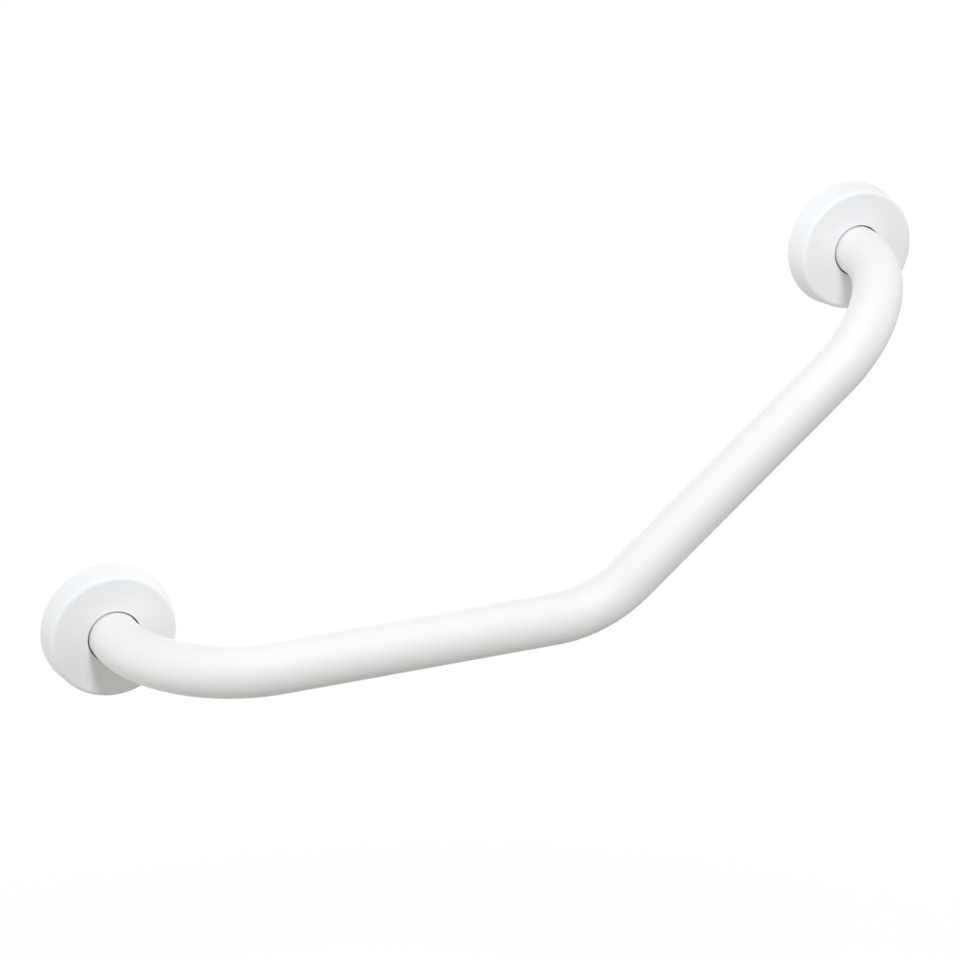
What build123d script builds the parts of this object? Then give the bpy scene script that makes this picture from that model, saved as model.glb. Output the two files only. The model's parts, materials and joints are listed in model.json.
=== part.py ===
from build123d import *
from math import cos, radians, sin, tan
import os

# Angled grab bar for a wall, in millimetres. The wall is the plane Y = 0, the room lies on its
# negative Y side and Z points up. The origin is the centre of the lower plate, on the wall.

# Rail
rail_diameter = 32.0
rail_wall = 1.5
arm_length = 288.0  # from the centre of a plate to the corner of the elbow
elbow_turn = 40.0  # degrees by which the upper arm rises from the lower one
bend_radius = 80.0  # at the centre line, the same in all three bends

# Mounting plates
plate_flange = 22.0  # ring of plate outside the rail
plate_thickness = 3.0
weld_clearance = 0.1  # between the rail and its hole in the plate
weld_recess = 0.8  # from the wall to the end of the rail
weld_leg = 3.0
screw_count = 3
screw_hole = 6.5

# Covers
cover_height = 17.5
cover_wall = 2.0
cover_draft = 8.0  # degrees by which the rim leans in
cover_round = 3.0  # outside of the front edge
cover_hollow = 1.0  # radius inside the front edge
rim_room = 2.0  # between the plate's edge and the inside of the rim, at the wall
bore_clearance = 1.0  # gap round the rail
rib_count = 6
rib_width = 2.5
rib_lead = 1.0  # from the wall to the foot of a rib
rib_reach = 2.0  # how far a rib's shoulder overlaps the plate
grip_clearance = 0.3  # between a rib and the plate's edge
seat_gap = 0.3  # rim to wall, and shoulder to plate

# Sizes that follow
rail_radius = rail_diameter / 2
stand_off = cover_height + bend_radius  # the rail starts to bend at the front of its cover
upper_x = arm_length * (1 + cos(radians(elbow_turn)))
upper_z = arm_length * sin(radians(elbow_turn))
weld_bore = rail_radius + weld_clearance
plate_radius = rail_radius + plate_flange
screw_radius = rail_radius + plate_flange / 2  # midway across the flange
cover_bore = rail_radius + bore_clearance
cover_radius = plate_radius + rim_room + cover_wall


def rim_radius(height):
    """Outside of a cover's leaning rim at a height above the wall."""
    return cover_radius - height * tan(radians(cover_draft))


os.makedirs("parts", exist_ok=True)

# Rail: one tube, bent out from the wall, up at the elbow and back to the wall
lower_foot = (0, -weld_recess, 0)
lower_corner = (0, -stand_off, 0)
elbow_corner = (arm_length, -stand_off, 0)
upper_corner = (upper_x, -stand_off, upper_z)
upper_foot = (upper_x, -weld_recess, upper_z)

with BuildPart() as rail:
    with BuildLine() as centre_line:
        FilletPolyline(lower_foot, lower_corner, elbow_corner, upper_corner, upper_foot, radius=bend_radius)
    with BuildSketch(Plane(origin=lower_foot, z_dir=(0, -1, 0))):
        Circle(rail_radius)
        Circle(rail_radius - rail_wall, mode=Mode.SUBTRACT)
    sweep(path=centre_line.wire())
rail.part.label = "rail_tube"
export_step(rail.part, "parts/rail_tube.step")

# Each end has its own plane on the wall: X points along its arm to the elbow, Z into the room
toward_room = (0, -1, 0)
back_down = (-cos(radians(elbow_turn)), 0, -sin(radians(elbow_turn)))
ends = {
    "lower": Plane(origin=(0, 0, 0), x_dir=(1, 0, 0), z_dir=toward_room),
    "upper": Plane(origin=(upper_x, 0, upper_z), x_dir=back_down, z_dir=toward_room),
}

for side, wall_face in ends.items():
    # Profiles are drawn as radius and height above the wall, and turned about the end's own axis
    profile = Plane(origin=wall_face.origin, x_dir=wall_face.x_dir, z_dir=-wall_face.y_dir)
    end_axis = Axis(wall_face.origin, wall_face.z_dir)

    # Mounting plate: a flat ring with screw holes, and the weld that holds the rail in it
    with BuildPart() as plate:
        with BuildSketch(wall_face):
            Circle(plate_radius)
            Circle(weld_bore, mode=Mode.SUBTRACT)
            with PolarLocations(screw_radius, screw_count, start_angle=180):
                Circle(screw_hole / 2, mode=Mode.SUBTRACT)
        extrude(amount=plate_thickness)
        with BuildSketch(profile):
            with BuildLine():
                Polyline(
                    (weld_bore, plate_thickness),
                    (weld_bore + weld_leg, plate_thickness),
                    (weld_bore, plate_thickness + weld_leg),
                    close=True,
                )
            make_face()
        revolve(axis=end_axis)
    plate.part.label = f"{side}_mounting_plate"
    export_step(plate.part, f"parts/{side}_mounting_plate.step")

    # Cover: a drafted cup with a bore for the rail
    inner_height = cover_height - cover_wall
    with BuildPart() as cover:
        with BuildSketch(profile) as section:
            with BuildLine():
                Polyline(
                    (cover_bore, cover_height),
                    (rim_radius(cover_height), cover_height),
                    (rim_radius(seat_gap), seat_gap),
                    (rim_radius(seat_gap) - cover_wall, seat_gap),
                    (rim_radius(inner_height) - cover_wall, inner_height),
                    (cover_bore, inner_height),
                    close=True,
                )
            make_face()
            inner_corners = section.vertices().group_by(Axis.Y)[1]
            fillet(inner_corners.sort_by(Axis.X)[-1], cover_hollow)
            front_corners = section.vertices().group_by(Axis.Y)[-1]
            fillet(front_corners.sort_by(Axis.X)[-1], cover_round)
        revolve(axis=end_axis)

        # Ribs inside the rim grip the plate's edge, and their shoulders stop on its face
        rib_turns = [360 / rib_count * (place + 0.5) for place in range(rib_count)]
        with BuildSketch(*[profile.rotated((0, turn, 0)) for turn in rib_turns]):
            with BuildLine():
                Polyline(
                    (rim_radius(rib_lead) - cover_wall / 2, rib_lead),
                    (plate_radius + grip_clearance, rib_lead),
                    (plate_radius + grip_clearance, plate_thickness + seat_gap),
                    (plate_radius - rib_reach, plate_thickness + seat_gap),
                    (plate_radius - rib_reach, cover_height - cover_wall / 2),
                    (rim_radius(inner_height) - cover_wall / 2, inner_height),
                    close=True,
                )
            make_face()
        extrude(amount=rib_width / 2, both=True)
    cover.part.label = f"{side}_cover"
    export_step(cover.part, f"parts/{side}_cover.step")
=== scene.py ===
import json
import math

import bpy
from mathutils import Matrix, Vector


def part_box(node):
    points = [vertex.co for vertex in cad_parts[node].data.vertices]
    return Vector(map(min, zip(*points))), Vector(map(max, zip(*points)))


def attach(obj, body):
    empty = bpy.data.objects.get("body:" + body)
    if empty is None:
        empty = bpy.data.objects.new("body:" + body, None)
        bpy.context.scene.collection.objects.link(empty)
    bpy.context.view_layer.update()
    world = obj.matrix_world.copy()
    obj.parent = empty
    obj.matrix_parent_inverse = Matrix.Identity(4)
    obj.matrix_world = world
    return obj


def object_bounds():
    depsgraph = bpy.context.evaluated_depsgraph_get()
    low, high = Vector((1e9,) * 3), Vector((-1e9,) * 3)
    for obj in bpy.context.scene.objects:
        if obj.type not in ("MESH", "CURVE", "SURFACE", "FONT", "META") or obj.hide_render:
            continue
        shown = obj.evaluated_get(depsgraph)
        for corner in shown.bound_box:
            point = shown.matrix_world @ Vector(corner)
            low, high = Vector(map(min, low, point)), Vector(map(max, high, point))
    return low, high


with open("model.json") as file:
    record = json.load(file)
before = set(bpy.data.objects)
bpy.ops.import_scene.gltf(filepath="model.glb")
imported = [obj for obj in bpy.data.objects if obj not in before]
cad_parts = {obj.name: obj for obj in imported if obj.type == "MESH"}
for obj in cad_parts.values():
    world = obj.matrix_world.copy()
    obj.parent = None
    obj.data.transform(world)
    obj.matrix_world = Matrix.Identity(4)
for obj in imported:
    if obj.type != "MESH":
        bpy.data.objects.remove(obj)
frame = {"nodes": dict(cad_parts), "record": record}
cadLow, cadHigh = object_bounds()
middle = (cadLow + cadHigh) / 2
nodes = frame["nodes"]
holes = {mount["name"]: Vector(mount["pos_m"]) for mount in frame["record"]["mounts"]}
lowerEnd = holes["lower_screw_holes"]
upperEnd = holes["upper_screw_holes"]
scene = bpy.context.scene
mm = 0.001
print("frame loaded:", ", ".join(sorted(nodes)))


def addNode(tree, kind, values=None, **settings):
    node = tree.nodes.new(kind)
    for name, value in settings.items():
        setattr(node, name, value)
    for socket, value in (values or {}).items():
        node.inputs[socket].default_value = value
    return node


# White skin: soft clouding of the colour, uneven gloss and a fine relief, shared by every finish
skinNoise = {
    "cloudDetail": 3.0,
    "reliefDetail": 1.0,
    "fineDetail": 2.0,
    "glossFrom": 0.3,  # cloud values between which the gloss changes
    "glossTo": 0.7,
}


def makeSkinGroup(plan):
    group = bpy.data.node_groups.new("whiteSkin", "ShaderNodeTree")
    sockets = group.interface
    sockets.new_socket("Coordinates", in_out="INPUT", socket_type="NodeSocketVector")
    for name in ("Clean Colour", "Cloud Colour"):
        sockets.new_socket(name, in_out="INPUT", socket_type="NodeSocketColor")
    for name in ("Cloud Scale", "Relief Scale", "Fine Scale", "Fine Share", "Gloss Low", "Gloss High"):
        sockets.new_socket(name, in_out="INPUT", socket_type="NodeSocketFloat")
    sockets.new_socket("Colour", in_out="OUTPUT", socket_type="NodeSocketColor")
    for name in ("Roughness", "Relief"):
        sockets.new_socket(name, in_out="OUTPUT", socket_type="NodeSocketFloat")

    given = addNode(group, "NodeGroupInput")
    result = addNode(group, "NodeGroupOutput")
    cloud = addNode(group, "ShaderNodeTexNoise", {"Detail": plan["cloudDetail"]})
    relief = addNode(group, "ShaderNodeTexNoise", {"Detail": plan["reliefDetail"]})
    fine = addNode(group, "ShaderNodeTexNoise", {"Detail": plan["fineDetail"]})
    tint = addNode(group, "ShaderNodeMix", data_type="RGBA")
    gloss = addNode(group, "ShaderNodeMapRange")
    gloss.inputs["From Min"].default_value = plan["glossFrom"]
    gloss.inputs["From Max"].default_value = plan["glossTo"]
    blend = addNode(group, "ShaderNodeMix", data_type="FLOAT")

    link = group.links.new
    for texture, scale in ((cloud, "Cloud Scale"), (relief, "Relief Scale"), (fine, "Fine Scale")):
        link(given.outputs["Coordinates"], texture.inputs["Vector"])
        link(given.outputs[scale], texture.inputs["Scale"])
    link(cloud.outputs["Fac"], tint.inputs["Factor"])
    link(given.outputs["Clean Colour"], tint.inputs["A"])
    link(given.outputs["Cloud Colour"], tint.inputs["B"])
    link(cloud.outputs["Fac"], gloss.inputs["Value"])
    link(given.outputs["Gloss Low"], gloss.inputs["To Min"])
    link(given.outputs["Gloss High"], gloss.inputs["To Max"])
    link(given.outputs["Fine Share"], blend.inputs["Factor"])
    link(relief.outputs["Fac"], blend.inputs["A"])
    link(fine.outputs["Fac"], blend.inputs["B"])
    link(tint.outputs["Result"], result.inputs["Colour"])
    link(gloss.outputs["Result"], result.inputs["Roughness"])
    link(blend.outputs["Result"], result.inputs["Relief"])
    return group


skinGroup = makeSkinGroup(skinNoise)


def makeSkin(name, finish):
    material = bpy.data.materials.new(name)
    material.use_nodes = True
    tree = material.node_tree
    shader = tree.nodes["Principled BSDF"]
    shader.inputs["IOR"].default_value = finish["ior"]
    place = addNode(tree, "ShaderNodeTexCoord")
    skin = addNode(tree, "ShaderNodeGroup", finish["skin"], node_tree=skinGroup)
    bump = addNode(tree, "ShaderNodeBump", finish["bump"])

    link = tree.links.new
    link(place.outputs["Object"], skin.inputs["Coordinates"])
    link(skin.outputs["Colour"], shader.inputs["Base Color"])
    link(skin.outputs["Roughness"], shader.inputs["Roughness"])
    link(skin.outputs["Relief"], bump.inputs["Height"])
    link(bump.outputs["Normal"], shader.inputs["Normal"])
    return material


# Powder coat on the steel: satin, with the faint orange peel of a baked film
powderCoat = {
    "skin": {
        "Clean Colour": (0.845, 0.832, 0.827, 1),
        "Cloud Colour": (0.825, 0.812, 0.807, 1),
        "Cloud Scale": 45.0,
        "Relief Scale": 420.0,
        "Fine Scale": 2600.0,
        "Fine Share": 0.2,
        "Gloss Low": 0.52,
        "Gloss High": 0.60,
    },
    "bump": {"Strength": 0.35, "Distance": 0.03 * mm},
    "ior": 1.5,
}

# Moulded covers: matte, a touch cooler, with the fine grain of an eroded mould
moulding = {
    "skin": {
        "Clean Colour": (0.883, 0.886, 0.893, 1),
        "Cloud Colour": (0.863, 0.866, 0.873, 1),
        "Cloud Scale": 60.0,
        "Relief Scale": 900.0,
        "Fine Scale": 4200.0,
        "Fine Share": 0.7,
        "Gloss Low": 0.56,
        "Gloss High": 0.64,
    },
    "bump": {"Strength": 0.4, "Distance": 0.02 * mm},
    "ior": 1.48,
}

# Bore of the tube: the coat drifts a little way in from each open end and thins out to bare steel
bareBore = {
    "steel": (0.52, 0.505, 0.485, 1),
    "scale": (0.32, 0.3, 0.28, 1),
    "roughness": 0.45,
    "within": 14.75 * mm,  # just past the bore's radius, inside the wall
    "bend": 80.0 * mm,
    "leg": 17.5 * mm,
    "coatEnds": 8.0 * mm,
    "steelBegins": 34.0 * mm,
    "patches": 160.0,
    "patchReach": 16.0 * mm,
}


# Tells the bore from the outside, with the origin at the plate's centre and X along the arm
def makeBoreGroup(plan):
    group = bpy.data.node_groups.new("tubeBore", "ShaderNodeTree")
    group.interface.new_socket("Place", in_out="INPUT", socket_type="NodeSocketVector")
    group.interface.new_socket("Inside", in_out="OUTPUT", socket_type="NodeSocketFloat")
    given = addNode(group, "NodeGroupInput")
    result = addNode(group, "NodeGroupOutput")
    parts = addNode(group, "ShaderNodeSeparateXYZ")
    pastLeg = addNode(group, "ShaderNodeMath", {1: plan["leg"]}, operation="ADD")
    inBend = addNode(group, "ShaderNodeMath", {1: 0.0}, operation="MINIMUM")
    across = addNode(group, "ShaderNodeMath", {1: plan["bend"]}, operation="SUBTRACT")
    fromCentre = addNode(group, "ShaderNodeCombineXYZ")
    reach = addNode(group, "ShaderNodeVectorMath", operation="LENGTH")
    offAxis = addNode(group, "ShaderNodeMath", {1: plan["bend"]}, operation="SUBTRACT")
    section = addNode(group, "ShaderNodeCombineXYZ")
    radius = addNode(group, "ShaderNodeVectorMath", operation="LENGTH")
    within = addNode(group, "ShaderNodeMath", {1: plan["within"]}, operation="LESS_THAN")
    thisEnd = addNode(group, "ShaderNodeMath", {1: plan["bend"]}, operation="LESS_THAN")
    both = addNode(group, "ShaderNodeMath", operation="MULTIPLY")

    link = group.links.new
    link(given.outputs["Place"], parts.inputs[0])
    link(parts.outputs["Y"], pastLeg.inputs[0])
    link(pastLeg.outputs[0], inBend.inputs[0])
    link(parts.outputs["X"], across.inputs[0])
    link(across.outputs[0], fromCentre.inputs["X"])
    link(inBend.outputs[0], fromCentre.inputs["Y"])
    link(fromCentre.outputs[0], reach.inputs[0])
    link(reach.outputs["Value"], offAxis.inputs[0])
    link(offAxis.outputs[0], section.inputs["X"])
    link(parts.outputs["Z"], section.inputs["Y"])
    link(section.outputs[0], radius.inputs[0])
    link(radius.outputs["Value"], within.inputs[0])
    link(parts.outputs["X"], thisEnd.inputs[0])
    link(within.outputs[0], both.inputs[0])
    link(thisEnd.outputs[0], both.inputs[1])
    link(both.outputs[0], result.inputs["Inside"])
    return group


def bareTheBore(material, plan):
    boreGroup = makeBoreGroup(plan)
    tree = material.node_tree
    shader = tree.nodes["Principled BSDF"]
    coatColour = shader.inputs["Base Color"].links[0].from_socket
    coatRoughness = shader.inputs["Roughness"].links[0].from_socket
    place = addNode(tree, "ShaderNodeTexCoord")
    lowerBore = addNode(tree, "ShaderNodeGroup", node_tree=boreGroup)
    upperBore = addNode(tree, "ShaderNodeGroup", node_tree=boreGroup)
    # both arms are equally long, so the upper one rises at twice the angle of a line from end to end
    upperTurn = math.pi - 2 * math.atan2(upperEnd.z, upperEnd.x)
    atUpper = addNode(tree, "ShaderNodeMapping", vector_type="TEXTURE")
    atUpper.inputs["Location"].default_value = upperEnd
    atUpper.inputs["Rotation"].default_value = (0, upperTurn, 0)
    bore = addNode(tree, "ShaderNodeMath", operation="MAXIMUM")
    parts = addNode(tree, "ShaderNodeSeparateXYZ")
    patches = addNode(tree, "ShaderNodeTexNoise", {"Scale": plan["patches"]})
    depth = addNode(tree, "ShaderNodeMath", {1: plan["patchReach"]}, operation="MULTIPLY_ADD")
    thinning = addNode(tree, "ShaderNodeMapRange", interpolation_type="SMOOTHSTEP")
    thinning.inputs["From Min"].default_value = -plan["coatEnds"] + plan["patchReach"] / 2
    thinning.inputs["From Max"].default_value = -plan["steelBegins"] + plan["patchReach"] / 2
    bare = addNode(tree, "ShaderNodeMath", operation="MULTIPLY")
    steel = addNode(tree, "ShaderNodeMix", {"A": plan["steel"], "B": plan["scale"]}, data_type="RGBA")
    colour = addNode(tree, "ShaderNodeMix", data_type="RGBA")
    roughness = addNode(tree, "ShaderNodeMix", {"B": plan["roughness"]}, data_type="FLOAT")

    link = tree.links.new
    link(place.outputs["Object"], lowerBore.inputs["Place"])
    link(place.outputs["Object"], atUpper.inputs["Vector"])
    link(atUpper.outputs["Vector"], upperBore.inputs["Place"])
    link(lowerBore.outputs["Inside"], bore.inputs[0])
    link(upperBore.outputs["Inside"], bore.inputs[1])
    link(place.outputs["Object"], parts.inputs[0])
    link(place.outputs["Object"], patches.inputs["Vector"])
    link(patches.outputs["Fac"], depth.inputs[0])
    link(parts.outputs["Y"], depth.inputs[2])
    link(depth.outputs[0], thinning.inputs["Value"])
    link(bore.outputs[0], bare.inputs[0])
    link(thinning.outputs["Result"], bare.inputs[1])
    link(patches.outputs["Fac"], steel.inputs["Factor"])
    link(bare.outputs[0], colour.inputs["Factor"])
    link(coatColour, colour.inputs["A"])
    link(steel.outputs["Result"], colour.inputs["B"])
    link(bare.outputs[0], roughness.inputs["Factor"])
    link(coatRoughness, roughness.inputs["A"])
    link(colour.outputs["Result"], shader.inputs["Base Color"])
    link(roughness.outputs["Result"], shader.inputs["Roughness"])
    link(bare.outputs[0], shader.inputs["Metallic"])


powderCoatSkin = makeSkin("whitePowderCoat", powderCoat)
tubeSkin = makeSkin("coatedTube", powderCoat)
bareTheBore(tubeSkin, bareBore)
mouldingSkin = makeSkin("whiteMoulding", moulding)
finishOf = {
    "rail_tube": tubeSkin,
    "lower_mounting_plate": powderCoatSkin,
    "upper_mounting_plate": powderCoatSkin,
    "lower_cover": mouldingSkin,
    "upper_cover": mouldingSkin,
}
for name, finish in finishOf.items():
    slots = nodes[name].data.materials
    slots.clear()
    slots.append(finish)
print("finishes set on", len(finishOf), "pieces")

# Weld round the tube on each plate: one ripple is shaped, repeated round the tube and fused into a bead
weldBead = {
    "ripples": 54,
    "section": 2.4 * mm,
    "segments": 20,
    "rings": 12,
    "thickness": 0.8,  # of a ripple, along the bead
    "lean": 24.0,
    "fromTube": 1.0 * mm,
    "fromWall": 3.9 * mm,
    "endRipple": 1.12,
    "grain": 0.4 * mm,
    "softening": 3,
    "unevenness": 0.3 * mm,
    "waves": 5.0 * mm,
    "upperTurn": 150.0,  # so that the two beads stop at different places
}


def makeWeldBeads(plan):
    tubeRadius = -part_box("rail_tube")[0].z
    spot = (tubeRadius + plan["fromTube"], -plan["fromWall"], 0)
    origin = (0, 0, 0)
    ball = {"segments": plan["segments"], "ring_count": plan["rings"]}
    bpy.ops.object.select_all(action="DESELECT")
    bpy.ops.mesh.primitive_uv_sphere_add(radius=plan["section"], **ball)
    lower = bpy.context.active_object
    lower.name = "lowerWeldBead"
    bpy.ops.object.mode_set(mode="EDIT")
    bpy.ops.mesh.select_all(action="SELECT")
    bpy.ops.transform.resize(value=(1, 1, plan["thickness"]), center_override=origin)
    bpy.ops.transform.rotate(value=math.radians(plan["lean"]), orient_axis="X", center_override=origin)
    bpy.ops.transform.translate(value=spot)
    copies = plan["ripples"] - 1
    turn = math.tau - math.tau / plan["ripples"]
    bpy.ops.mesh.spin(steps=copies, dupli=True, angle=turn, center=origin, axis=(0, 1, 0))
    # where the weld stops, the last ripple is larger
    bpy.ops.mesh.primitive_uv_sphere_add(radius=plan["section"] * plan["endRipple"], location=spot, **ball)
    bpy.ops.object.mode_set(mode="OBJECT")

    fuse = lower.modifiers.new("fuse", "REMESH")
    fuse.mode = "VOXEL"
    fuse.voxel_size = plan["grain"]
    waves = bpy.data.textures.new("weldWaves", "CLOUDS")
    waves.noise_scale = plan["waves"]
    uneven = lower.modifiers.new("uneven", "DISPLACE")
    uneven.texture = waves
    uneven.texture_coords = "LOCAL"
    uneven.strength = plan["unevenness"]
    soften = lower.modifiers.new("soften", "SMOOTH")
    soften.iterations = plan["softening"]
    for modifier in ("fuse", "uneven", "soften"):
        bpy.ops.object.modifier_apply(modifier=modifier)
    bpy.ops.object.shade_smooth()
    lower.data.materials.append(powderCoatSkin)

    bpy.ops.object.duplicate(linked=False)
    upper = bpy.context.active_object
    upper.name = "upperWeldBead"
    upper.location = upperEnd - lowerEnd
    upper.rotation_euler.y = math.radians(plan["upperTurn"])
    bpy.ops.object.transform_apply(location=True, rotation=True, scale=True)
    for bead in (lower, upper):
        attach(bead, "bar")
    return lower, upper


lowerWeld, upperWeld = makeWeldBeads(weldBead)
print("weld beads laid,", len(lowerWeld.data.polygons), "and", len(upperWeld.data.polygons), "faces")

# Floor far below the bar: pale under it, where the shadow lies, and white further out
floorPlan = {
    "drop": 1.2,
    "size": 120.0,
    "bounce": (0.548, 0.525, 0.492, 1),  # its colour in the light that it throws back on the bar
    "nearColour": (0.95, 0.95, 0.95, 1),
    "farColour": (0, 0, 0, 1),  # far out, the glow alone makes it white
    "nearGlow": 0.2,
    "nearReach": 1.0,
    "whiteFrom": 2.0,
}


def seenDirectly(tree):
    path = addNode(tree, "ShaderNodeLightPath")
    glossOrEye = addNode(tree, "ShaderNodeMath", operation="MAXIMUM")
    glassToo = addNode(tree, "ShaderNodeMath", operation="MAXIMUM")
    tree.links.new(path.outputs["Is Camera Ray"], glossOrEye.inputs[0])
    tree.links.new(path.outputs["Is Glossy Ray"], glossOrEye.inputs[1])
    tree.links.new(glossOrEye.outputs[0], glassToo.inputs[0])
    tree.links.new(path.outputs["Is Transmission Ray"], glassToo.inputs[1])
    return glassToo.outputs[0]


def makeFloor(plan):
    bpy.ops.object.select_all(action="DESELECT")
    bpy.ops.mesh.primitive_plane_add(size=plan["size"], location=(middle.x, middle.y, -plan["drop"]))
    floor = bpy.context.active_object
    floor.name = "studioFloor"
    paint = bpy.data.materials.new("paleFloor")
    paint.use_nodes = True
    tree = paint.node_tree
    shader = tree.nodes["Principled BSDF"]
    shader.inputs["Roughness"].default_value = 1.0
    shader.inputs["Specular IOR Level"].default_value = 0.0
    shader.inputs["Emission Color"].default_value = (1, 1, 1, 1)
    seen = seenDirectly(tree)
    place = addNode(tree, "ShaderNodeTexCoord")
    distance = addNode(tree, "ShaderNodeVectorMath", operation="LENGTH")
    far = addNode(tree, "ShaderNodeMapRange", interpolation_type="SMOOTHSTEP")
    far.inputs["From Min"].default_value = plan["nearReach"]
    far.inputs["From Max"].default_value = plan["whiteFrom"]
    nearToFar = {"A": plan["nearColour"], "B": plan["farColour"]}
    look = addNode(tree, "ShaderNodeMix", nearToFar, data_type="RGBA")
    colour = addNode(tree, "ShaderNodeMix", {"A": plan["bounce"]}, data_type="RGBA")
    glow = addNode(tree, "ShaderNodeMapRange", {"To Min": plan["nearGlow"]})
    seenGlow = addNode(tree, "ShaderNodeMath", operation="MULTIPLY")

    link = tree.links.new
    link(place.outputs["Object"], distance.inputs[0])
    link(distance.outputs["Value"], far.inputs["Value"])
    link(far.outputs["Result"], look.inputs["Factor"])
    link(look.outputs["Result"], colour.inputs["B"])
    link(seen, colour.inputs["Factor"])
    link(colour.outputs["Result"], shader.inputs["Base Color"])
    link(far.outputs["Result"], glow.inputs["Value"])
    link(glow.outputs["Result"], seenGlow.inputs[0])
    link(seen, seenGlow.inputs[1])
    link(seenGlow.outputs[0], shader.inputs["Emission Strength"])
    floor.data.materials.append(paint)


makeFloor(floorPlan)
print("floor laid")

# Soft studio light: a dome that is brighter above and at both sides, a white backdrop for the eye,
# a round key in front, and panels at the left and behind
dome = {
    "colour": (0.968, 0.965, 0.939, 1),
    "base": 0.106,
    "sides": 1.34,
    "slope": (0.2, 0.0, 0.395),
}
backdrop = {"Color": (1, 1, 1, 1), "Strength": 1.0}
softboxes = {
    "roundKey": {
        "shape": "DISK",
        "place": (0.08, -1.1, 1.15),
        "width": 0.36,
        "power": 12.7,
        "colour": (0.888, 0.935, 1.0),
    },
    "sidePanel": {
        "shape": "RECTANGLE",
        "place": (-1.5, 0.1, 0.1),
        "width": 0.9,
        "height": 1.0,
        "power": 5.3,
        "colour": (0.88, 0.93, 1.0),
    },
    "rearPanel": {
        "shape": "RECTANGLE",
        "place": (0.25, 1.7, 0.05),
        "width": 1.4,
        "height": 0.8,
        "power": 8.0,
        "colour": (0.97, 0.98, 1.0),
    },
}


# Along a ray the dome's strength is base + slope . ray + sides * x * x, or 0 where that is negative
def makeWorld(plan, eyeSees):
    world = bpy.data.worlds.new("studioDome")
    scene.world = world
    world.use_nodes = True
    tree = world.node_tree
    light = tree.nodes["Background"]
    light.inputs["Color"].default_value = plan["colour"]
    ray = addNode(tree, "ShaderNodeTexCoord")
    parts = addNode(tree, "ShaderNodeSeparateXYZ")
    sideways = addNode(tree, "ShaderNodeMath", operation="MULTIPLY")
    slope = addNode(tree, "ShaderNodeVectorMath", {1: plan["slope"]}, operation="DOT_PRODUCT")
    level = addNode(tree, "ShaderNodeMath", {1: plan["base"]}, operation="ADD")
    total = addNode(tree, "ShaderNodeMath", {1: plan["sides"]}, operation="MULTIPLY_ADD")
    strength = addNode(tree, "ShaderNodeMath", {1: 0.0}, operation="MAXIMUM")
    white = addNode(tree, "ShaderNodeBackground", eyeSees)
    choice = addNode(tree, "ShaderNodeMixShader")

    link = tree.links.new
    link(ray.outputs["Generated"], parts.inputs[0])
    link(parts.outputs["X"], sideways.inputs[0])
    link(parts.outputs["X"], sideways.inputs[1])
    link(ray.outputs["Generated"], slope.inputs[0])
    link(slope.outputs["Value"], level.inputs[0])
    link(sideways.outputs[0], total.inputs[0])
    link(level.outputs[0], total.inputs[2])
    link(total.outputs[0], strength.inputs[0])
    link(strength.outputs[0], light.inputs["Strength"])
    link(seenDirectly(tree), choice.inputs["Fac"])
    link(light.outputs[0], choice.inputs[1])
    link(white.outputs[0], choice.inputs[2])
    link(choice.outputs[0], tree.nodes["World Output"].inputs["Surface"])


def makeSoftbox(name, plan):
    bpy.ops.object.light_add(type="AREA", location=plan["place"])
    lamp = bpy.context.active_object
    lamp.name = name
    lamp.visible_camera = False
    lamp.data.shape = plan["shape"]
    lamp.data.size = plan["width"]
    if "height" in plan:
        lamp.data.size_y = plan["height"]
    lamp.data.energy = plan["power"]
    lamp.data.color = plan["colour"]
    lamp.rotation_euler = (Vector(plan["place"]) - middle).to_track_quat("Z", "Y").to_euler()


makeWorld(dome, backdrop)
for name, plan in softboxes.items():
    makeSoftbox(name, plan)
print("light set,", len(softboxes), "softboxes")

# Camera at the viewing angle of the photograph
view = {
    "azimuth": -22.78,
    "elevation": 21.968,
    "distance": 1.78466,
    "aim": (0.208779, -0.0975, 0.100826),
    "lens": 111.326,
    "sensor": 36.0,
    "farthest": 200.0,  # past the edge of the floor
}


def makeCamera(plan):
    turn, lift = math.radians(plan["azimuth"]), math.radians(plan["elevation"])
    out = Vector((math.sin(turn) * math.cos(lift), -math.cos(turn) * math.cos(lift), math.sin(lift)))
    bpy.ops.object.camera_add(location=Vector(plan["aim"]) + out * plan["distance"])
    camera = bpy.context.active_object
    camera.name = "photoCamera"
    camera.rotation_euler = out.to_track_quat("Z", "Y").to_euler()
    camera.data.lens = plan["lens"]
    camera.data.sensor_width = plan["sensor"]
    camera.data.clip_end = plan["farthest"]
    scene.camera = camera


makeCamera(view)
scene.view_settings.view_transform = "Standard"
print("camera set")
